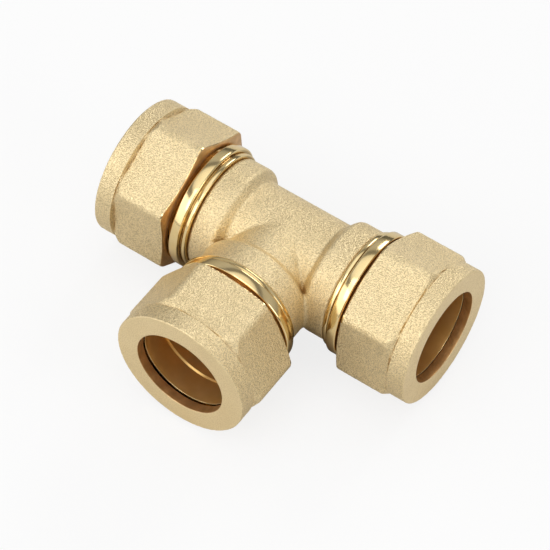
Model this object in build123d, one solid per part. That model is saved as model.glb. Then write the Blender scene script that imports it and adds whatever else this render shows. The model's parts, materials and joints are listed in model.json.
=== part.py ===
from build123d import *
import math
import os

# Equal compression tee for 22 mm tube: a forged brass tee body with three male
# threaded ends, and on each end a hexagon nut over a loose olive.
# Frame: origin where the run and branch axes cross, +X along the run to the right
# end, -Y along the branch, +Z up.  All sizes are in millimetres.  A name that ends
# in _AT is a distance from the origin, outward along a port.

# ---- tube and ports -------------------------------------------------------------
TUBE_R = 11.0                   # outside radius of the tube that the fitting takes
SOCKET_R = TUBE_R + 0.10        # tube socket in the body
OLIVE_BORE_R = TUBE_R + 0.12
NUT_BORE_R = TUBE_R + 0.15
WATERWAY_R = 9.9
TUBE_STOP_AT = 22.0             # the step that stops the tube
PORTS = {                       # heading of the port about +Z, and its nut's turn
    "right": (0.0, -32.6),
    "left": (180.0, 30.6),
    "branch": (-90.0, 53.0),
}

# ---- forged body ----------------------------------------------------------------
BARREL_R = 11.3
BULGE_R = 13.45                 # swollen end of the forging, under each collar
BULGE_FOOT_AT = 10.6
BULGE_TOP_AT = 12.3
BULGE_ROUND = 1.9
VALLEY_ROUND = 1.1

# ---- machined collar ------------------------------------------------------------
STEP_AT, STEP_R = 18.3, 14.1    # narrow turned ring where the forging ends
GROOVE_AT, GROOVE_R = 19.4, 13.8
COLLAR_AT, COLLAR_R = 19.7, 14.95
COLLAR_END_AT = 22.3
COLLAR_BEVEL = 0.3
RELIEF_R = 12.0                 # thread undercut behind the collar

# ---- pipe thread, G 3/4 form ----------------------------------------------------
PITCH = 25.4 / 14
THREAD_MAJOR_R = 26.441 / 2
THREAD_DEPTH = 0.6403 * PITCH
THREAD_MINOR_R = THREAD_MAJOR_R - THREAD_DEPTH
THREAD_MEAN_R = (THREAD_MAJOR_R + THREAD_MINOR_R) / 2
FLANK_ANGLE = 27.5
THREAD_START_AT = 23.2
MOUTH_AT = 33.5                 # open end of the male thread
MOUTH_BEVEL = 0.9
SUNK = 0.1                      # how far a thread ridge is sunk into its wall
RADIAL_GAP = 0.15               # nut thread to body thread, crest to root
FLANK_GAP = 0.12                # the same along the axis, on each flank
NUT_MAJOR_R = THREAD_MAJOR_R + RADIAL_GAP
NUT_MINOR_R = THREAD_MINOR_R + RADIAL_GAP
SEAT_MOUTH_R = 11.95            # conical seat for the olive in the body's mouth
SEAT_AT = 32.0

# ---- olive ----------------------------------------------------------------------
OLIVE_FROM, OLIVE_TO = 32.6, 38.6
OLIVE_BAND_FROM, OLIVE_BAND_TO = 35.2, 36.0
OLIVE_R = 12.45
OLIVE_END_R = 11.35

# ---- nut ------------------------------------------------------------------------
FLAT_R = 30.8 / 2               # half of the size across flats
HEX_CORNER_ROUND = 2.2
CORNER_R = (FLAT_R - HEX_CORNER_ROUND) / math.cos(math.radians(30)) + HEX_CORNER_ROUND
NUT_REAR_AT = 22.95
NUT_FACE_AT = 41.15
REAR_BEVEL_R = 14.5             # where the turned rear bevel starts
REAR_BEVEL_SLOPE = math.tan(math.radians(15))
HEX_END_AT = 36.5               # foot of the nose on a flat
CORNER_DROP_AT = 35.7           # where the hexagon corners start to fall to the nose
CORNER_END_AT = 38.0
NOSE_R = 16.45
NOSE_SHOULDER = 0.6             # length of the slope up from a flat to the nose
NOSE_ROUND = 0.4
LIP_ROUND = 0.4                 # rounded mouth of the nut's hole
NUT_SEAT_AT = 38.9              # small end of the nut's conical seat
NUT_SEAT_WIDE_AT = 37.3
NUT_SEAT_R = NUT_BORE_R + 0.15
NUT_CAVITY_R = THREAD_MAJOR_R + 0.4
NUT_THREAD_END_AT = 35.3
REAR_COUNTERSINK = 0.5

BEYOND = 1.0                    # how far a cutting shape runs past what it cuts


def spin(*points):
    """Turns a closed half-section about the port: x runs outward, y is the radius."""
    return revolve(make_face(Polyline(*points, close=True)), axis=Axis.X)


def spin_rounded(points, corners):
    """The same, with a rounding radius for each of some named corners."""
    face = make_face(Polyline(*points, close=True))
    for point, radius in corners.items():
        corner = face.vertices().sort_by_distance((*point, 0))[0]
        face = fillet(corner, radius)
    return revolve(face, axis=Axis.X)


def at_each_port(shape):
    """Three copies of one port's shape, turned to the three headings."""
    return [Rot(0, 0, heading) * shape for heading, _ in PORTS.values()]


def helical_ridge(base_r, crest_r, mean_width, start_at, end_at):
    """A right-hand thread ridge about +X, from its base radius to its crest radius."""
    narrowing = math.tan(math.radians(FLANK_ANGLE))
    outward = 1 if crest_r > base_r else -1

    def half_width(radius):
        return mean_width / 2 - outward * (radius - THREAD_MEAN_R) * narrowing

    section = Polyline(
        (base_r, 0, -half_width(base_r)), (crest_r, 0, -half_width(crest_r)),
        (crest_r, 0, half_width(crest_r)), (base_r, 0, half_width(base_r)), close=True,
    )
    path = Helix(PITCH, end_at - start_at, THREAD_MEAN_R)
    ridge = sweep(make_face(section), path=path, is_frenet=True)
    return Pos(start_at, 0, 0) * Rot(0, 90, 0) * ridge


def forged_end():
    """One swollen end of the forging, rounded at its shoulder and at its foot."""
    foot, shoulder = (BULGE_FOOT_AT, BARREL_R), (BULGE_TOP_AT, BULGE_R)
    outline = [(0, 0), (0, BARREL_R), foot, shoulder, (STEP_AT, BULGE_R), (STEP_AT, 0)]
    return spin_rounded(outline, {foot: VALLEY_ROUND, shoulder: BULGE_ROUND})


def turned_end():
    """The turned outside of one port: step, groove, collar, undercut and thread."""
    turned = spin(
        (STEP_AT - BEYOND, 0), (STEP_AT - BEYOND, BARREL_R), (STEP_AT, BARREL_R),
        (STEP_AT, STEP_R - COLLAR_BEVEL), (STEP_AT + COLLAR_BEVEL, STEP_R),
        (GROOVE_AT, STEP_R), (GROOVE_AT, GROOVE_R), (COLLAR_AT, GROOVE_R),
        (COLLAR_AT, COLLAR_R - COLLAR_BEVEL), (COLLAR_AT + COLLAR_BEVEL, COLLAR_R),
        (COLLAR_END_AT - COLLAR_BEVEL, COLLAR_R), (COLLAR_END_AT, COLLAR_R - COLLAR_BEVEL),
        (COLLAR_END_AT, RELIEF_R), (THREAD_START_AT, RELIEF_R),
        (THREAD_START_AT, THREAD_MINOR_R), (MOUTH_AT, THREAD_MINOR_R), (MOUTH_AT, 0),
    )
    envelope = spin(
        (THREAD_START_AT, THREAD_MINOR_R - 2 * SUNK), (THREAD_START_AT, THREAD_MINOR_R),
        (THREAD_START_AT + THREAD_DEPTH, THREAD_MAJOR_R),
        (MOUTH_AT - MOUTH_BEVEL, THREAD_MAJOR_R), (MOUTH_AT, THREAD_MAJOR_R - MOUTH_BEVEL),
        (MOUTH_AT, THREAD_MINOR_R - 2 * SUNK),
    )
    ridge = helical_ridge(
        THREAD_MINOR_R - SUNK, THREAD_MAJOR_R, PITCH / 2,
        THREAD_START_AT - PITCH, MOUTH_AT + PITCH,
    )
    return turned + (ridge & envelope)


def port_bore():
    """What is drilled out of one port: waterway, tube socket and olive seat."""
    return spin(
        (0, 0), (0, WATERWAY_R), (TUBE_STOP_AT, WATERWAY_R), (TUBE_STOP_AT, SOCKET_R),
        (SEAT_AT, SOCKET_R), (MOUTH_AT, SEAT_MOUTH_R), (MOUTH_AT + BEYOND, SEAT_MOUTH_R),
        (MOUTH_AT + BEYOND, 0),
    )


def build_tee_body():
    forged, *others = at_each_port(forged_end())
    body = forged
    for end in others + at_each_port(turned_end()):
        body = body + end
    for bore in at_each_port(port_bore()):
        body = body - bore
    return body


def build_olive():
    return spin(
        (OLIVE_FROM, OLIVE_BORE_R), (OLIVE_FROM, OLIVE_END_R),
        (OLIVE_BAND_FROM, OLIVE_R), (OLIVE_BAND_TO, OLIVE_R),
        (OLIVE_TO, OLIVE_END_R), (OLIVE_TO, OLIVE_BORE_R),
    )


def nut_outside():
    """The hexagon with its turned rear bevel and falling corners, and the round nose."""
    outline = RegularPolygon(FLAT_R, 6, major_radius=False, rotation=0)
    outline = fillet(outline.vertices(), HEX_CORNER_ROUND)
    prism = extrude(Plane.YZ.offset(NUT_REAR_AT) * outline, CORNER_END_AT - NUT_REAR_AT)
    bevel_length = (CORNER_R - REAR_BEVEL_R) * REAR_BEVEL_SLOPE
    turned = spin(
        (NUT_REAR_AT, 0), (NUT_REAR_AT, REAR_BEVEL_R), (NUT_REAR_AT + bevel_length, CORNER_R),
        (CORNER_DROP_AT, CORNER_R), (CORNER_END_AT, NOSE_R), (CORNER_END_AT, 0),
    )
    rim = (NUT_FACE_AT, NOSE_R)
    nose = spin_rounded(
        [(HEX_END_AT, 0), (HEX_END_AT, FLAT_R), (HEX_END_AT + NOSE_SHOULDER, NOSE_R),
         rim, (NUT_FACE_AT, 0)],
        {rim: NOSE_ROUND},
    )
    return (prism & turned) + nose


def nut_inside():
    """What is turned out of a nut: countersink, thread core, cavity, seat and hole."""
    flare = REAR_COUNTERSINK + BEYOND
    return spin(
        (NUT_REAR_AT - BEYOND, 0), (NUT_REAR_AT - BEYOND, NUT_MAJOR_R + flare),
        (NUT_REAR_AT + REAR_COUNTERSINK, NUT_MAJOR_R), (NUT_THREAD_END_AT, NUT_MAJOR_R),
        (NUT_THREAD_END_AT, NUT_CAVITY_R), (NUT_SEAT_WIDE_AT, NUT_CAVITY_R),
        (NUT_SEAT_AT, NUT_SEAT_R), (NUT_SEAT_AT, NUT_BORE_R),
        (NUT_FACE_AT + BEYOND, NUT_BORE_R), (NUT_FACE_AT + BEYOND, 0),
    )


def build_nut():
    """The nut at zero turn, where its thread stands in mesh with the body's."""
    nut = nut_outside() - nut_inside()
    mouth = nut.edges().filter_by(GeomType.CIRCLE).group_by(Axis.X)[-1].sort_by(SortBy.RADIUS)[0]
    nut = fillet(mouth, LIP_ROUND)
    thread_from = NUT_REAR_AT + REAR_COUNTERSINK
    envelope = spin(
        (thread_from, NUT_MAJOR_R + 2 * SUNK), (thread_from, NUT_MAJOR_R),
        (thread_from + THREAD_DEPTH, NUT_MINOR_R),
        (NUT_THREAD_END_AT - THREAD_DEPTH, NUT_MINOR_R), (NUT_THREAD_END_AT, NUT_MAJOR_R),
        (NUT_THREAD_END_AT, NUT_MAJOR_R + 2 * SUNK),
    )
    ridge = helical_ridge(
        NUT_MAJOR_R + SUNK, NUT_MINOR_R, PITCH / 2 - 2 * FLANK_GAP,
        THREAD_START_AT - PITCH / 2, NUT_THREAD_END_AT + PITCH,
    )
    return nut + (ridge & envelope)


def write(shape, node):
    shape.label = node
    export_step(shape, f"parts/{node}.step")


os.makedirs("parts", exist_ok=True)
write(build_tee_body(), "tee_body")
nut = build_nut()
olive = build_olive()
for port, (heading, turn) in PORTS.items():
    to_port = Rot(0, 0, heading)
    screwed = Pos(PITCH * turn / 360, 0, 0) * Rot(turn, 0, 0)
    write(to_port * screwed * nut, f"nut_{port}")
    write(to_port * olive, f"olive_{port}")
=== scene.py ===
import json
import math

import bmesh
import bpy
import numpy as np
from mathutils import Matrix, Vector, noise

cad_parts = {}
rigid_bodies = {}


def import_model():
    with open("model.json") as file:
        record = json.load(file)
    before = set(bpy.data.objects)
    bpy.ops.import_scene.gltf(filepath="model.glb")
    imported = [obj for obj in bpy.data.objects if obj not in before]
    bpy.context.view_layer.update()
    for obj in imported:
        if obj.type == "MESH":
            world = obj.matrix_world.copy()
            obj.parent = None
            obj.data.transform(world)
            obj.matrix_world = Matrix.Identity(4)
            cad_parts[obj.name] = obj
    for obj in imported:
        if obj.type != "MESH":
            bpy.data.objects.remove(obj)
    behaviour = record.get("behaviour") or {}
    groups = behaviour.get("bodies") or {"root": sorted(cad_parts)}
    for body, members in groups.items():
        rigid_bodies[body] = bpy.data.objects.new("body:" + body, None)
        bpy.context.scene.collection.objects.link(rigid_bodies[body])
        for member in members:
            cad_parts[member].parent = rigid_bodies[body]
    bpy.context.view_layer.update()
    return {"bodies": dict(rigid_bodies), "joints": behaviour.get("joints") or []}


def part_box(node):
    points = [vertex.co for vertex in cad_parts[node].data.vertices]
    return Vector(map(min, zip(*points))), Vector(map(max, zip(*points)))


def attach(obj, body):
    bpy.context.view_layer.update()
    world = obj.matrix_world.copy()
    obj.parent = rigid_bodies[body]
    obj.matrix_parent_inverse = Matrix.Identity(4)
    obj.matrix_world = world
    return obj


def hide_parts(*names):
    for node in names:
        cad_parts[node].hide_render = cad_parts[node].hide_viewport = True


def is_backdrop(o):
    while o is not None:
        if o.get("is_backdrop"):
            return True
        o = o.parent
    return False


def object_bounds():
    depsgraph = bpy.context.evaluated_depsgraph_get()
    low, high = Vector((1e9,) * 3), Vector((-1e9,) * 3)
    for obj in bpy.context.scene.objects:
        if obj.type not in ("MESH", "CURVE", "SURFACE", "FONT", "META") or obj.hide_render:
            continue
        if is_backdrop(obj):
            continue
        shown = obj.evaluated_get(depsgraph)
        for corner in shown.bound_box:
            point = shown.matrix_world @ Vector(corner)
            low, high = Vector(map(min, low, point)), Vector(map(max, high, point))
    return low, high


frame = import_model()

# Looks of a brass compression tee: a forged body with three threaded ends, and on each
# end a hexagon nut over a loose olive.  Shapes are drawn in millimetres in a port's own
# frame, with x outward along the port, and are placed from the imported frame.  A name
# that ends in _AT is a distance from the origin along a port.

MM = 0.001

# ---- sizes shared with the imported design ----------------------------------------
SOCKET_R = 11.1
OLIVE_BORE_R = 11.12
NUT_BORE_R = 11.15
WATERWAY_R = 9.9
TUBE_STOP_AT = 22.0

BARREL_R = 11.3
BULGE_R = 13.45
BULGE_FOOT_AT = 10.6
BULGE_TOP_AT = 12.3

STEP_AT, STEP_R = 18.3, 14.1
GROOVE_AT, GROOVE_R = 19.4, 13.8
COLLAR_AT, COLLAR_R = 19.7, 14.95
COLLAR_END_AT = 22.3
RELIEF_R = 12.0

PITCH = 25.4 / 14
THREAD_MAJOR_R = 26.441 / 2
THREAD_DEPTH = 0.6403 * PITCH
THREAD_MINOR_R = THREAD_MAJOR_R - THREAD_DEPTH
THREAD_MEAN_R = (THREAD_MAJOR_R + THREAD_MINOR_R) / 2
FLANK_ANGLE = math.radians(27.5)
THREAD_START_AT = 23.2
MOUTH_AT = 33.5
MOUTH_BEVEL = 0.9
RADIAL_GAP = 0.15
FLANK_GAP = 0.12
NUT_MAJOR_R = THREAD_MAJOR_R + RADIAL_GAP
NUT_MINOR_R = THREAD_MINOR_R + RADIAL_GAP
SEAT_AT, SEAT_MOUTH_R = 32.0, 11.95

FLAT_R = 15.4
HEX_CORNER_ROUND = 2.2
CORNER_ARM = (FLAT_R - HEX_CORNER_ROUND) / math.cos(math.radians(30))
CORNER_R = CORNER_ARM + HEX_CORNER_ROUND
NUT_REAR_AT, NUT_FACE_AT = 22.95, 41.15
REAR_BEVEL_R, REAR_BEVEL_SLOPE = 14.5, math.tan(math.radians(15))
HEX_END_AT = 36.5
CORNER_DROP_AT, CORNER_DROP_SLOPE = 35.5, 0.9
NOSE_R, NOSE_SHOULDER = 16.45, 0.4
NUT_SEAT_WIDE_AT, NUT_SEAT_AT = 37.3, 38.9
NUT_CAVITY_R = THREAD_MAJOR_R + 0.4
NUT_THREAD_END_AT = 35.3
REAR_COUNTERSINK = 0.5

OLIVE_LENGTH = 6.0
OLIVE_END_R, OLIVE_CROWN_R = 11.35, 12.45

# ---- how solids are joined --------------------------------------------------------
SUNK = 0.1                  # how deep a thread's ridge is sunk into the solid it joins
APART = 0.01                # keeps flat faces of two solids from lying in one plane

# ---- mesh density and the shot-blasted skin --------------------------------------
AROUND = 384                # columns round a blasted surface
AROUND_TURNED = 144         # columns round a turned surface
SKIN_STEP = 0.30            # spacing of the points on a blasted surface
SKIN_VOXEL = 0.30
BORE_STEP = 2.0             # longest face along a bore
ARC_STEPS = 4
THREAD_STEPS = 72           # steps in each turn of a thread
GRAIN_SIZE = 0.55
GRAIN_DEPTH = 0.045
SHARP_ANGLE = math.radians(32)      # a steeper edge than this is shaded crisp


# ---- outlines --------------------------------------------------------------------
def rounded(corners):
    """Turns (x, r, rounding) corners into an outline of (x, r) points with arcs at its corners."""
    outline = []
    count = len(corners)
    for i, (x, r, rounding) in enumerate(corners):
        corner = Vector((x, r))
        if rounding <= 0:
            outline.append(corner)
            continue
        before = (Vector(corners[i - 1][:2]) - corner).normalized()
        after = (Vector(corners[(i + 1) % count][:2]) - corner).normalized()
        half = math.acos(max(-1, min(1, before.dot(after)))) / 2
        reach = rounding / math.tan(half)
        start, end = corner + before * reach, corner + after * reach
        centre = corner + (before + after).normalized() * (rounding / math.sin(half))
        first, last = start - centre, end - centre
        sweep = first.angle_signed(last)
        for k in range(ARC_STEPS + 1):
            turn = Matrix.Rotation(-sweep * k / ARC_STEPS, 2)
            outline.append(centre + turn @ first)
    return [(p.x, p.y) for p in outline]


def resampled(outline, step):
    """The same open outline with no gap between points wider than a step."""
    points = [outline[0]]
    for (xa, ra), (xb, rb) in zip(outline, outline[1:]):
        pieces = max(1, math.ceil(math.hypot(xb - xa, rb - ra) / step))
        for k in range(1, pieces + 1):
            t = k / pieces
            points.append((xa + (xb - xa) * t, ra + (rb - ra) * t))
    return points


def smooth_min(a, b, width):
    """The smaller of two values, with a soft change from one to the other."""
    share = np.maximum(width - np.abs(a - b), 0) / width
    return np.minimum(a, b) - share * share * width / 4


def smooth_max(a, b, width):
    return -smooth_min(-a, -b, width)


# ---- meshes ----------------------------------------------------------------------
def new_object(name, points, faces):
    """A closed mesh object from points in millimetres, with its faces turned outward."""
    mesh = bpy.data.meshes.new(name)
    mesh.from_pydata((np.asarray(points) * MM).tolist(), [], faces)
    shape = bmesh.new()
    shape.from_mesh(mesh)
    if shape.calc_volume(signed=True) < 0:
        mesh.flip_normals()
    shape.free()
    obj = bpy.data.objects.new(name, mesh)
    bpy.context.scene.collection.objects.link(obj)
    return obj


def rings_object(name, rings, closed):
    """A solid through rings of points, either a closed tube of rings or capped at both ends."""
    rows, columns = len(rings), len(rings[0])
    faces = []
    for i in range(rows if closed else rows - 1):
        j = (i + 1) % rows
        for k in range(columns):
            m = (k + 1) % columns
            faces.append((i * columns + k, j * columns + k, j * columns + m, i * columns + m))
    if not closed:
        faces.append(tuple(range(columns)))
        faces.append(tuple((rows - 1) * columns + k for k in reversed(range(columns))))
    return new_object(name, np.concatenate(rings), faces)


def ring(x, radius, columns):
    """Points round the port's axis; x and radius are numbers or one value for each point."""
    angle = np.arange(columns) * (2 * math.pi / columns)
    x = np.broadcast_to(x, angle.shape)
    return np.stack([x, radius * np.cos(angle), radius * np.sin(angle)], axis=1)


def lathe(name, outline, closed=False, columns=AROUND_TURNED):
    """A turned solid.  An open outline runs outward and its two ends are capped flat."""
    return rings_object(name, [ring(x, r, columns) for x, r in outline], closed)


def apply_modifiers(obj):
    graph = bpy.context.evaluated_depsgraph_get()
    mesh = bpy.data.meshes.new_from_object(obj.evaluated_get(graph), depsgraph=graph)
    obj.modifiers.clear()
    obj.data = mesh


def combine(obj, tool, operation):
    """Joins a tool solid to an object, or cuts or intersects the object with it."""
    modifier = obj.modifiers.new("combine", "BOOLEAN")
    modifier.operation = operation
    modifier.solver = "MANIFOLD"
    modifier.object = tool
    apply_modifiers(obj)
    bpy.data.objects.remove(tool)


def points_of(obj):
    points = np.empty(len(obj.data.vertices) * 3)
    obj.data.vertices.foreach_get("co", points)
    return points.reshape(-1, 3) / MM


def set_points(obj, points):
    obj.data.vertices.foreach_set("co", (points * MM).ravel())
    obj.data.update()


def grain(points, seed):
    """Height of the blasted skin at each point: overlapping dimples, about -1 to 1."""
    shift = Vector((seed * 17.0, seed * 5.0, seed * 11.0))
    heights = np.empty(len(points))
    for i, p in enumerate(points):
        q = Vector(p) / GRAIN_SIZE + shift
        heights[i] = noise.noise(q) + 0.6 * noise.noise(q * 2.1)
    return heights


def helical_ridge(name, base_r, crest_r, mean_width, start_at, end_at):
    """A right-hand thread ridge about the port's axis, capped at both ends."""
    outward = 1 if crest_r > base_r else -1
    section = []
    for radius, side in ((base_r, -1), (crest_r, -1), (crest_r, 1), (base_r, 1)):
        narrowing = outward * (radius - THREAD_MEAN_R) * math.tan(FLANK_ANGLE)
        section.append((side * (mean_width / 2 - narrowing), radius))
    steps = math.ceil((end_at - start_at) / PITCH * THREAD_STEPS)
    points = []
    for k in range(steps + 1):
        turns = k / THREAD_STEPS
        angle = 2 * math.pi * turns
        cosine, sine = math.cos(angle), math.sin(angle)
        for offset, radius in section:
            points.append((start_at + turns * PITCH + offset, radius * cosine, radius * sine))
    faces = [(3, 2, 1, 0), tuple(steps * 4 + k for k in range(4))]
    for k in range(steps):
        for a in range(4):
            b = (a + 1) % 4
            faces.append((k * 4 + a, k * 4 + b, k * 4 + 4 + b, k * 4 + 4 + a))
    return new_object(name, points, faces)


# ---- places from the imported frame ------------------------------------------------
def port_matrix(port):
    """Turns a port's own frame to where the port points."""
    joint = next(j for j in frame["joints"] if j["child"] == f"nut_{port}" and j["type"] == "hinge")
    x, y, _ = joint["axis"]
    return Matrix.Rotation(math.atan2(y, x), 4, "Z")


def reach(port, node):
    """How far out along its port a node reaches, in millimetres."""
    outward = port_matrix(port) @ Vector((1, 0, 0))
    low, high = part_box(node)
    return max(low.dot(outward), high.dot(outward)) / MM


def nut_matrix(port):
    """The port's frame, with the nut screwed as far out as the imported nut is."""
    shift = reach(port, f"nut_{port}") - NUT_FACE_AT
    turn = Matrix.Rotation(2 * math.pi * shift / PITCH, 4, "X")
    return port_matrix(port) @ Matrix.Translation((shift * MM, 0, 0)) @ turn


PORTS = sorted(body[len("nut_"):] for body in frame["bodies"] if body.startswith("nut_"))


# ---- tee body --------------------------------------------------------------------
CREASE_WIDTH = 1.0          # how softly the run and the branch flow into each other
VALLEY_ROUND = 0.9
SHOULDER_ROUND = 1.6
RIM_ROUND = 0.9
GRAIN_FADE = 0.3            # over this much the grain fades out towards the turned ends
BULGE_END_AT = STEP_AT - 0.5
STUB_AT, STUB_R = STEP_AT + 0.3, BULGE_R - 0.8
FORGED_END_AT = STEP_AT + 0.5


def forged_profile():
    """The forged end's outline from the middle out to inside the turned step."""
    return rounded([
        (0, BARREL_R, 0), (BULGE_FOOT_AT, BARREL_R, VALLEY_ROUND),
        (BULGE_TOP_AT, BULGE_R, SHOULDER_ROUND), (BULGE_END_AT, BULGE_R, RIM_ROUND),
        (STUB_AT, STUB_R, 0), (FORGED_END_AT, STUB_R, 0),
    ])


def forged_distance(points):
    """Signed distance, near the skin, to the forging; the run and branch blend softly."""
    profile = np.array(forged_profile())
    slope = np.gradient(profile[:, 1], profile[:, 0])

    def arm(along, across):
        """Distance to one arm, given the distance along it and from its axis."""
        radius = np.interp(along, profile[:, 0], profile[:, 1])
        lean = np.interp(along, profile[:, 0], slope)
        side = (across - radius) / np.sqrt(1 + lean * lean)
        return np.maximum(side, along - FORGED_END_AT)

    x, y, z = points.T
    run_r, branch_r = np.hypot(y, z), np.hypot(x, z)
    run = arm(np.abs(x), run_r)
    branch = np.maximum(arm(np.maximum(-y, 0), branch_r), y)
    alike = z * z / np.maximum(run_r * branch_r, 1e-6)
    width = CREASE_WIDTH * np.clip(1 - alike, 0.3, 1)
    return smooth_min(run, branch, width)


def settle(points, distance, rounds=4):
    """Moves points onto the skin of a shape, and returns them with their normals."""
    probe = 0.02
    for _ in range(rounds):
        slope = np.stack([
            distance(points + np.eye(3)[k] * probe) - distance(points - np.eye(3)[k] * probe)
            for k in range(3)
        ], axis=1) / (2 * probe)
        steepness = np.maximum(np.linalg.norm(slope, axis=1), 0.3)[:, None]
        normals = slope / steepness
        points = points - normals * (distance(points)[:, None] / steepness)
    return points, normals


def forging():
    """The blasted forging as one skin, before its ends are turned."""
    core = None
    for port in PORTS:
        end = lathe("forging", [(0, 0.5)] + forged_profile() + [(FORGED_END_AT, 0.5)])
        end.data.transform(port_matrix(port))
        if core is None:
            core = end
        else:
            combine(core, end, "UNION")
    remesh = core.modifiers.new("skin", "REMESH")
    remesh.mode = "VOXEL"
    remesh.voxel_size = SKIN_VOXEL * MM
    apply_modifiers(core)
    points, normals = settle(points_of(core), forged_distance)
    out = np.maximum(-points[:, 1], np.abs(points[:, 0]))
    fade = np.clip((FORGED_END_AT - out) / GRAIN_FADE - 1, 0, 1)
    points += normals * (grain(points, 1) * fade * GRAIN_DEPTH)[:, None]
    set_points(core, points)
    return core


def turned_end():
    """The turned outside of one end: step, groove, collar, undercut and thread root."""
    inside = WATERWAY_R - 1
    root_at = STEP_AT - 1
    return lathe("turned_end", rounded([
        (root_at, inside, 0), (root_at, BARREL_R, 0), (STEP_AT, BARREL_R, 0),
        (STEP_AT, STEP_R, 0.35), (GROOVE_AT, STEP_R, 0.25), (GROOVE_AT, GROOVE_R, 0.05),
        (COLLAR_AT, GROOVE_R, 0.05), (COLLAR_AT, COLLAR_R, 0.45),
        (COLLAR_END_AT, COLLAR_R, 0.45), (COLLAR_END_AT, RELIEF_R, 0.2),
        (THREAD_START_AT, RELIEF_R, 0.1), (THREAD_START_AT, THREAD_MINOR_R, 0),
        (MOUTH_AT, THREAD_MINOR_R, 0), (MOUTH_AT, inside, 0),
    ]), closed=True)


def male_thread():
    """The thread's ridge, with a bevel at its start and at the mouth."""
    envelope = lathe("envelope", [
        (THREAD_START_AT + SUNK, THREAD_MINOR_R - 2 * SUNK),
        (THREAD_START_AT + THREAD_DEPTH + 3 * SUNK, THREAD_MAJOR_R),
        (MOUTH_AT - MOUTH_BEVEL, THREAD_MAJOR_R), (MOUTH_AT - APART, THREAD_MAJOR_R - MOUTH_BEVEL),
        (MOUTH_AT - APART, THREAD_MINOR_R - 2 * SUNK),
    ], closed=True)
    ridge = helical_ridge(
        "ridge", THREAD_MINOR_R - SUNK, THREAD_MAJOR_R, PITCH / 2,
        THREAD_START_AT - PITCH, MOUTH_AT + PITCH,
    )
    combine(ridge, envelope, "INTERSECT")
    return ridge


def port_bore():
    """What is drilled out of one end: waterway, tube socket and olive seat."""
    seat_slope = (SEAT_MOUTH_R - SOCKET_R) / (MOUTH_AT - SEAT_AT)
    return lathe("bore", resampled(rounded([
        (-1.0, WATERWAY_R, 0), (TUBE_STOP_AT, WATERWAY_R, 0.1), (TUBE_STOP_AT, SOCKET_R, 0.1),
        (SEAT_AT, SOCKET_R, 0.2), (MOUTH_AT + 1, SEAT_MOUTH_R + seat_slope, 0),
    ]), BORE_STEP))


def tee_body():
    """The forging with its three turned and drilled ends, as one solid."""
    body = forging()
    for port in PORTS:
        end = turned_end()
        combine(end, male_thread(), "UNION")
        end.data.transform(port_matrix(port))
        combine(body, end, "UNION")
    for port in PORTS:
        bore = port_bore()
        bore.data.transform(port_matrix(port))
        combine(body, bore, "DIFFERENCE")
    body.name = body.data.name = "tee_body_forging"
    return body


# ---- nut -------------------------------------------------------------------------
NOSE_ROUND = 0.3
LIP_ROUND = 0.15
FOOT_SOFTNESS = 0.12
CORNER_SOFTNESS = 0.4
REAR_SOFTNESS = 0.6
FOOT_GROOVE, FOOT_GROOVE_WIDTH = 0.2, 0.13
SKIN_START, SKIN_FADE = 0.35, 0.3       # how far from the rear bevel the blasted skin starts
FACE_GRAIN = 0.2                        # grain on the turned face, as a share of the skin's


def hexagon_radius(angle):
    """Distance from the axis to the rounded hexagon's side; a corner is at angle 0."""
    sector = math.pi / 3
    from_flat = np.abs(angle % sector - sector / 2)
    flat = FLAT_R / np.cos(from_flat)
    from_corner = sector / 2 - from_flat
    sag = np.sqrt(HEX_CORNER_ROUND ** 2 - (CORNER_ARM * np.sin(from_corner)) ** 2 + 0j).real
    arc = CORNER_ARM * np.cos(from_corner) + sag
    corner_starts = math.atan2(CORNER_ARM / 2, FLAT_R)
    return np.where(from_flat < corner_starts, flat, arc)


def nut_ring(x, columns):
    """One ring of the nut's outside: the hexagon between its bevels, and the round nose."""
    angle = np.arange(columns) * (2 * math.pi / columns)
    sides = hexagon_radius(angle)
    rear = REAR_BEVEL_R + (x - NUT_REAR_AT) / REAR_BEVEL_SLOPE
    drop = CORNER_R - CORNER_DROP_SLOPE * (x - CORNER_DROP_AT)
    sides = sides - FOOT_GROOVE * math.exp(-((x - HEX_END_AT) / FOOT_GROOVE_WIDTH) ** 2)
    radius = smooth_min(sides, np.full(columns, drop), CORNER_SOFTNESS)
    radius = smooth_min(radius, np.full(columns, rear), REAR_SOFTNESS)
    rise = (x - HEX_END_AT) / NOSE_SHOULDER
    if rise > 0:
        nose = FLAT_R + min(rise, 1) * (NOSE_R - FLAT_R)
        radius = smooth_max(radius, np.full(columns, nose), FOOT_SOFTNESS)
    return ring(x, radius, columns)


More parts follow.
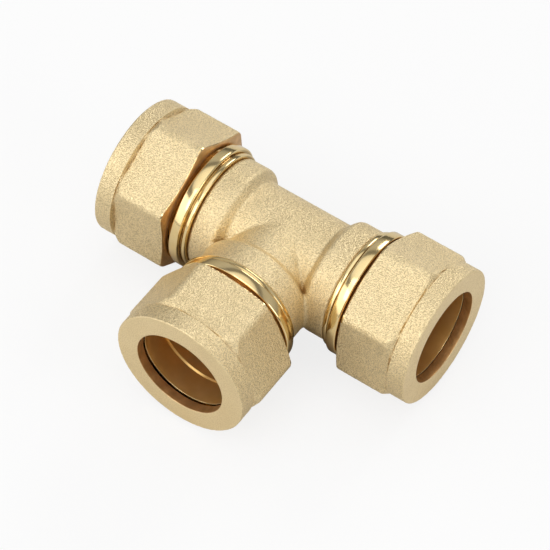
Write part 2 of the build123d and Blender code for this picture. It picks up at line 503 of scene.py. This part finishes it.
def nut_shell(seed):
    """The nut as one closed skin, inside and out, but for its thread."""
    bevel_end_at = NUT_REAR_AT + (CORNER_R - REAR_BEVEL_R) * REAR_BEVEL_SLOPE
    stations = [
        *np.linspace(NUT_REAR_AT, bevel_end_at, 9)[1:],
        *np.arange(bevel_end_at + SKIN_STEP, HEX_END_AT - 0.4, SKIN_STEP),
        *np.arange(HEX_END_AT - 0.3, HEX_END_AT + NOSE_SHOULDER + 0.3, 0.1),
        *np.arange(HEX_END_AT + NOSE_SHOULDER + 0.3, NUT_FACE_AT - NOSE_ROUND, SKIN_STEP),
    ]
    rings = [nut_ring(x, AROUND) for x in stations]
    rim = rounded([(stations[-1], NOSE_R, 0), (NUT_FACE_AT, NOSE_R, NOSE_ROUND),
                   (NUT_FACE_AT, NUT_BORE_R + 1, 0)])
    lip = rounded([(NUT_FACE_AT, NUT_BORE_R + 1, 0), (NUT_FACE_AT, NUT_BORE_R, LIP_ROUND),
                   (NUT_SEAT_AT, NUT_BORE_R, 0.1), (NUT_SEAT_AT, NUT_BORE_R + 0.15, 0),
                   (NUT_SEAT_WIDE_AT, NUT_CAVITY_R, 0), (NUT_THREAD_END_AT, NUT_CAVITY_R, 0),
                   (NUT_THREAD_END_AT, NUT_MAJOR_R, 0),
                   (NUT_REAR_AT + REAR_COUNTERSINK, NUT_MAJOR_R, 0),
                   (NUT_REAR_AT, NUT_MAJOR_R + REAR_COUNTERSINK, 0.05),
                   (NUT_REAR_AT, REAR_BEVEL_R, 0)])
    rings += [ring(x, r, AROUND) for x, r in resampled(rim, SKIN_STEP)[1:-1]]
    rings += [ring(x, r, AROUND) for x, r in lip]
    shell = rings_object("nut", rings, closed=True)
    roughen(shell, seed)
    return shell


def rear_bevel_at(radius):
    """Where along the port the bevel on the nut's rear meets a radius."""
    return NUT_REAR_AT + np.maximum(radius - REAR_BEVEL_R, 0) * REAR_BEVEL_SLOPE


def nut_skin(points):
    """How blasted the nut is at each point, from 0 on turned faces to 1 on the skin."""
    radius = np.hypot(points[:, 1], points[:, 2])
    ahead = np.clip((points[:, 0] - rear_bevel_at(radius) - SKIN_START) / SKIN_FADE, 0, 1)
    outside = np.where(radius > FLAT_R - 1.2, 1, 0)
    face = FACE_GRAIN * np.clip((radius - NUT_BORE_R - 0.4) / 0.4, 0, 1)
    return ahead * np.where(points[:, 0] < NUT_FACE_AT - 0.02, outside, face)


def roughen(obj, seed):
    """Raises the grain of the blasted skin on a nut."""
    points = points_of(obj)
    normals = np.empty(len(points) * 3)
    obj.data.vertices.foreach_get("normal", normals)
    height = grain(points, seed) * nut_skin(points) * GRAIN_DEPTH
    set_points(obj, points + normals.reshape(-1, 3) * height[:, None])


def female_thread():
    """The ridge inside the nut, bevelled at both ends."""
    thread_from = NUT_REAR_AT + REAR_COUNTERSINK
    envelope = lathe("envelope", [
        (thread_from, NUT_MAJOR_R), (thread_from, NUT_MAJOR_R + 2 * SUNK),
        (NUT_THREAD_END_AT, NUT_MAJOR_R + 2 * SUNK), (NUT_THREAD_END_AT, NUT_MAJOR_R),
        (NUT_THREAD_END_AT - THREAD_DEPTH, NUT_MINOR_R), (thread_from + THREAD_DEPTH, NUT_MINOR_R),
    ], closed=True)
    ridge = helical_ridge(
        "ridge", NUT_MAJOR_R + SUNK, NUT_MINOR_R, PITCH / 2 - 2 * FLANK_GAP,
        THREAD_START_AT - PITCH / 2, NUT_THREAD_END_AT + PITCH,
    )
    combine(ridge, envelope, "INTERSECT")
    return ridge


def nut(port, seed):
    obj = nut_shell(seed)
    combine(obj, female_thread(), "UNION")
    obj.data.transform(nut_matrix(port))
    obj.name = obj.data.name = f"nut_{port}_forging"
    return obj


# ---- olive -----------------------------------------------------------------------
def olive(port):
    """A ring that swells to a rounded crown halfway along."""
    edge, crown = 0.08, 1.2
    outer = reach(port, f"olive_{port}")
    inner = outer - OLIVE_LENGTH
    obj = lathe("olive", rounded([
        (inner, OLIVE_BORE_R, edge), (inner, OLIVE_END_R, edge),
        ((inner + outer) / 2, OLIVE_CROWN_R, crown),
        (outer, OLIVE_END_R, edge), (outer, OLIVE_BORE_R, edge),
    ]), closed=True)
    obj.data.transform(port_matrix(port))
    obj.name = obj.data.name = f"olive_{port}_ring"
    return obj


# ---- materials -------------------------------------------------------------------
def principled(name):
    material = bpy.data.materials.new(name)
    material.use_nodes = True
    nodes, links = material.node_tree.nodes, material.node_tree.links
    return material, nodes, links, nodes["Principled BSDF"]


def node(nodes, kind, **values):
    """A new node, with each value set as its property or as one of its inputs."""
    made = nodes.new(kind)
    for key, value in values.items():
        if hasattr(made, key):
            setattr(made, key, value)
        else:
            made.inputs[key.replace("_", " ")].default_value = value
    return made


def tinted(nodes, links, fac, low, high, start=0.3, end=0.7):
    """A colour that runs from low to high with a texture's value."""
    ramp = node(nodes, "ShaderNodeValToRGB")
    ramp.color_ramp.elements[0].position = start
    ramp.color_ramp.elements[0].color = (*low, 1)
    ramp.color_ramp.elements[1].position = end
    ramp.color_ramp.elements[1].color = (*high, 1)
    links.new(fac, ramp.inputs["Fac"])
    return ramp.outputs["Color"]


def multiplied(nodes, links, a, b):
    """One colour times another."""
    mix = node(nodes, "ShaderNodeMix", data_type="RGBA", blend_type="MULTIPLY")
    mix.inputs["Factor"].default_value = 1.0
    first, second = [socket for socket in mix.inputs if socket.type == "RGBA"]
    links.new(a, first)
    links.new(b, second)
    return next(socket for socket in mix.outputs if socket.type == "RGBA")


def noise_texture(nodes, links, scale, detail):
    place = node(nodes, "ShaderNodeTexCoord")
    texture = node(nodes, "ShaderNodeTexNoise", Scale=scale, Detail=detail, Roughness=0.5)
    links.new(place.outputs["Object"], texture.inputs["Vector"])
    return texture.outputs["Fac"]


def painted_crease_shade(nodes, links, distance, dark):
    """Painted shade: a colour that darkens the surface where it turns in on itself, from an
    ambient-occlusion node.
    """
    shade = node(nodes, "ShaderNodeAmbientOcclusion", samples=6, Distance=distance)
    return tinted(nodes, links, shade.outputs["AO"], dark, (1.0, 1.0, 1.0), 0.35, 0.80)


def blasted_brass(name, grain_contrast, bump_distance):
    """Shot-blasted skin: fine bright grains between dark pits, over a slightly clouded brass, with
    painted shade in its creases.
    """
    material, nodes, links, shader = principled(name)
    fine = noise_texture(nodes, links, 3600.0, 1.0)
    broad = noise_texture(nodes, links, 150.0, 3.0)
    bump = node(nodes, "ShaderNodeBump", Strength=1.0, Distance=bump_distance)
    links.new(fine, bump.inputs["Height"])
    links.new(bump.outputs["Normal"], shader.inputs["Normal"])
    cloud = tinted(nodes, links, broad, (0.94, 0.76, 0.445), (0.99, 0.81, 0.49))
    dark = 1 - grain_contrast
    pit = (dark, dark * 0.97, dark * 0.90)
    pits = tinted(nodes, links, fine, pit, (1.0, 1.0, 1.0), 0.38, 0.58)
    # Painted shade: the base colour is darkened in creases and hollows, where shade falls.
    crease_shade = painted_crease_shade(nodes, links, 0.0014, (0.66, 0.54, 0.38))
    color = multiplied(nodes, links, multiplied(nodes, links, cloud, pits), crease_shade)
    links.new(color, shader.inputs["Base Color"])
    shader.inputs["Metallic"].default_value = 0.88
    shader.inputs["Roughness"].default_value = 0.40
    shader.inputs["Specular IOR Level"].default_value = 0.2
    return material


def cut_brass(name, dark, light, fold_shade, metallic, roughness, clouding):
    """Machined brass, from bright turned rings to the browner drilled inside; the darker, browner
    copies for the bores and recesses are painted shade.
    """
    material, nodes, links, shader = principled(name)
    cloud = tinted(nodes, links, noise_texture(nodes, links, clouding, 3.0), dark, light)
    # Painted shade: the base colour is darkened in creases and hollows, where shade falls.
    crease_shade = painted_crease_shade(nodes, links, 0.0008, fold_shade)
    links.new(multiplied(nodes, links, cloud, crease_shade), shader.inputs["Base Color"])
    shader.inputs["Metallic"].default_value = metallic
    shader.inputs["Roughness"].default_value = roughness
    return material


BLASTED, FACED, TURNED, DRILLED_AND_SHADED, SHADED_RECESS = range(5)
MATERIALS = [
    blasted_brass("blasted_brass", grain_contrast=0.30, bump_distance=0.00022),
    blasted_brass("faced_brass", grain_contrast=0.12, bump_distance=0.00006),
    cut_brass(
        "turned_brass", dark=(0.88, 0.67, 0.32), light=(0.95, 0.75, 0.40),
        fold_shade=(0.50, 0.42, 0.34), metallic=1.0, roughness=0.14, clouding=300.0,
    ),
    # Drilled inside: a rougher finish, and a darker, browner colour that is painted shade in the
    # bores.
    cut_brass(
        "drilled_brass_painted_shade", dark=(0.72, 0.45, 0.15), light=(0.84, 0.56, 0.22),
        fold_shade=(0.85, 0.80, 0.75), metallic=0.8, roughness=0.30, clouding=200.0,
    ),
    # Painted shade: a still darker brown for the nut's bore, the bevel on its rear and the undercut
    # behind the collar, recesses where shade falls.
    cut_brass(
        "nut_bore_brass", dark=(0.56, 0.33, 0.13), light=(0.80, 0.50, 0.22),
        fold_shade=(0.50, 0.42, 0.34), metallic=0.8, roughness=0.30, clouding=500.0,
    ),
]


def finish_mesh(obj, kinds):
    """Gives each face its kind of brass, and shades the mesh smooth with crisp edges."""
    mesh = obj.data
    mesh.materials.clear()
    for material in MATERIALS:
        mesh.materials.append(material)
    mesh.polygons.foreach_set("material_index", kinds.astype(np.int32))
    mesh.polygons.foreach_set("use_smooth", np.ones(len(kinds), bool))
    mesh.set_sharp_from_angle(angle=SHARP_ANGLE)


def face_centres(obj, matrix):
    """Middle of each face, seen in the frame of a matrix: distances along and from the axis."""
    centres = np.empty(len(obj.data.polygons) * 3)
    obj.data.polygons.foreach_get("center", centres)
    back = np.array(matrix.inverted())
    local = centres.reshape(-1, 3) @ back[:3, :3].T + back[:3, 3]
    return local[:, 0] / MM, np.hypot(local[:, 1], local[:, 2]) / MM


def body_kinds(obj):
    """Which brass each face of the body is; the small margins keep limits off rows of faces."""
    kinds = np.full(len(obj.data.polygons), BLASTED)
    for port in PORTS:
        along, radius = face_centres(obj, port_matrix(port))
        kinds[(along > STEP_AT - 0.02) & (radius < COLLAR_R + 1)] = TURNED
        # The undercut behind the collar takes the darker brass that paints its shade.
        undercut = (along > COLLAR_END_AT - 0.1) & (along < THREAD_START_AT + 0.1)
        kinds[undercut & (radius < COLLAR_R - 0.5)] = SHADED_RECESS
    for port in PORTS:
        along, radius = face_centres(obj, port_matrix(port))
        kinds[(along > 0) & (radius < SEAT_MOUTH_R + 0.02) & (along > BARREL_R)] = DRILLED_AND_SHADED
        kinds[(along > -0.5) & (radius < WATERWAY_R + 0.1)] = DRILLED_AND_SHADED
    return kinds


def nut_kinds(obj, port):
    """Which brass each face of a nut is; the small margins keep limits off rows of faces."""
    along, radius = face_centres(obj, nut_matrix(port))
    kinds = np.full(len(along), TURNED)
    kinds[(radius > FLAT_R - 0.6) & (along > rear_bevel_at(radius) + 0.22)] = BLASTED
    # The rear bevel and the nut's bore take the darker brass that paints the shade in them.
    bevel = (radius > REAR_BEVEL_R - 0.2) & (along < rear_bevel_at(radius) + 0.12)
    kinds[bevel] = SHADED_RECESS
    kinds[along > NUT_FACE_AT - 0.07] = FACED
    kinds[(radius < NUT_BORE_R + 0.05) & (along > NUT_SEAT_AT - 0.02)] = SHADED_RECESS
    return kinds


def olive_kinds(obj, port):
    _, radius = face_centres(obj, port_matrix(port))
    return np.where(radius < OLIVE_BORE_R + 0.01, DRILLED_AND_SHADED, TURNED)


# ---- the object ------------------------------------------------------------------
def put(obj, name, kinds):
    """Finishes a piece and sets it on the body, and in place of the node, of the same name."""
    finish_mesh(obj, kinds)
    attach(obj, name)
    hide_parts(name)


tee = tee_body()
put(tee, "tee_body", body_kinds(tee))
for seed, port in enumerate(PORTS, start=2):
    made = nut(port, seed)
    put(made, f"nut_{port}", nut_kinds(made, port))
    made = olive(port)
    put(made, f"olive_{port}", olive_kinds(made, port))


# ---- stage, light and camera -----------------------------------------------------
SEEN_GLOW, SEEN_LIT = 0.80, 0.17        # the floor's own light, and its share of the lamps'
FLOOR_HALF = 1.5
# Painted shadow: light that the floor throws back is dark near the object's foot and pale further
# out.
FLOOR_PAINTED_SHADOW, FLOOR_FAR = (0.24, 0.20, 0.16), (0.68, 0.67, 0.65)
NEAR_REACH, FAR_REACH = 0.028, 0.044
TENT = [                    # elevation in degrees and brightness
    (0, 0.08), (8, 0.12), (12, 0.28), (20, 0.42), (34, 0.50), (45, 0.46), (47, 0.22),
    (56, 0.20), (58, 0.80), (66, 1.05), (89, 1.20),
]
LAMP_DISTANCE = 1.1
LAMPS = [                   # azimuth and elevation in degrees, width and power
    (-22, 24, 0.9, 3.0),
    (5, 50, 0.8, 3.0),
    (-60, 20, 0.5, 1.4),
    (88, 22, 0.5, 2.0),
    (180, 30, 0.5, 3.0),
]
CAMERA_AZIMUTH, CAMERA_ELEVATION, CAMERA_ROLL = 32.903, 53.277, 2.265
CAMERA_SHIFT = (-3.073, -5.637, 675.9)      # right, up and back, in millimetres
LENS = 200.07


def floor():
    """A pale floor.

    The camera sees it mostly glow, with soft shadows.  Light that it throws back on the
    object is darker near the object's foot and pale further out, a painted shadow.  It is clear
    from below.
    """
    low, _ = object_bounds()
    half = FLOOR_HALF
    corners = [(-half, -half), (half, -half), (half, half), (-half, half)]
    mesh = bpy.data.meshes.new("floor")
    mesh.from_pydata([(x, y, low.z) for x, y in corners], [], [(0, 1, 2, 3)])
    obj = bpy.data.objects.new("floor", mesh)
    bpy.context.scene.collection.objects.link(obj)
    material, nodes, links, shader = principled("pale_floor")
    place = node(nodes, "ShaderNodeTexCoord")
    reach_out = node(nodes, "ShaderNodeVectorMath", operation="LENGTH")
    links.new(place.outputs["Object"], reach_out.inputs[0])
    spread = node(nodes, "ShaderNodeMapRange", From_Min=NEAR_REACH, From_Max=FAR_REACH)
    links.new(reach_out.outputs["Value"], spread.inputs["Value"])
    painted_floor_shadow = tinted(nodes, links, spread.outputs["Result"], FLOOR_PAINTED_SHADOW, FLOOR_FAR, 0, 1)
    links.new(painted_floor_shadow, shader.inputs["Base Color"])
    shader.inputs["Roughness"].default_value = 0.9
    shader.inputs["Specular IOR Level"].default_value = 0.0
    glow = node(nodes, "ShaderNodeEmission", Strength=SEEN_GLOW)
    lit = node(nodes, "ShaderNodeBsdfDiffuse", Color=(SEEN_LIT, SEEN_LIT, SEEN_LIT, 1))
    seen = node(nodes, "ShaderNodeAddShader")
    links.new(glow.outputs["Emission"], seen.inputs[0])
    links.new(lit.outputs["BSDF"], seen.inputs[1])
    path = node(nodes, "ShaderNodeLightPath")
    either = node(nodes, "ShaderNodeMixShader")
    links.new(path.outputs["Is Camera Ray"], either.inputs["Fac"])
    links.new(shader.outputs["BSDF"], either.inputs[1])
    links.new(seen.outputs["Shader"], either.inputs[2])
    side = node(nodes, "ShaderNodeNewGeometry")
    clear = node(nodes, "ShaderNodeBsdfTransparent")
    one_sided = node(nodes, "ShaderNodeMixShader")
    links.new(side.outputs["Backfacing"], one_sided.inputs["Fac"])
    links.new(either.outputs["Shader"], one_sided.inputs[1])
    links.new(clear.outputs["BSDF"], one_sided.inputs[2])
    links.new(one_sided.outputs["Shader"], nodes["Material Output"].inputs["Surface"])
    mesh.materials.append(material)
    obj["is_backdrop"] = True


def area_light(azimuth, elevation, width, power):
    """A square soft light that faces the object."""
    data = bpy.data.lights.new("lamp", "AREA")
    data.size = width
    data.energy = power
    obj = bpy.data.objects.new("lamp", data)
    bpy.context.scene.collection.objects.link(obj)
    a, e = math.radians(azimuth), math.radians(elevation)
    away = Vector((math.sin(a) * math.cos(e), -math.cos(a) * math.cos(e), math.sin(e)))
    obj.location = away * LAMP_DISTANCE
    obj.rotation_mode = "QUATERNION"
    obj.rotation_quaternion = away.to_track_quat("Z", "Y")


def world_light():
    """A light tent: a bright ceiling, a dark seam round it, pale walls, and a dim horizon."""
    world = bpy.data.worlds.new("studio")
    bpy.context.scene.world = world
    world.use_nodes = True
    nodes, links = world.node_tree.nodes, world.node_tree.links
    background = nodes["Background"]
    place = node(nodes, "ShaderNodeTexCoord")
    split = node(nodes, "ShaderNodeSeparateXYZ")
    ramp = node(nodes, "ShaderNodeValToRGB")
    links.new(place.outputs["Generated"], split.inputs["Vector"])
    links.new(split.outputs["Z"], ramp.inputs["Fac"])
    links.new(ramp.outputs["Color"], background.inputs["Color"])
    stops = ramp.color_ramp.elements
    while len(stops) > 1:
        stops.remove(stops[-1])
    for i, (elevation, level) in enumerate(TENT):
        height = math.sin(math.radians(elevation))
        stop = stops[0] if i == 0 else stops.new(height)
        stop.position = height
        stop.color = (level, level, level, 1)


def camera():
    """A long lens on the middle of the object, rolled a little."""
    facing = Matrix.Rotation(math.radians(CAMERA_AZIMUTH), 4, "Z")
    facing @= Matrix.Rotation(math.radians(90 - CAMERA_ELEVATION), 4, "X")
    facing @= Matrix.Rotation(math.radians(CAMERA_ROLL), 4, "Z")
    data = bpy.data.cameras.new("camera")
    data.sensor_width = 36
    data.lens = LENS
    data.clip_start, data.clip_end = 0.01, 10
    obj = bpy.data.objects.new("camera", data)
    obj.matrix_world = facing @ Matrix.Translation(Vector(CAMERA_SHIFT) * MM)
    bpy.context.scene.collection.objects.link(obj)
    bpy.context.scene.camera = obj


floor()
world_light()
for lamp in LAMPS:
    area_light(*lamp)
camera()
bpy.context.scene.view_settings.view_transform = "Standard"
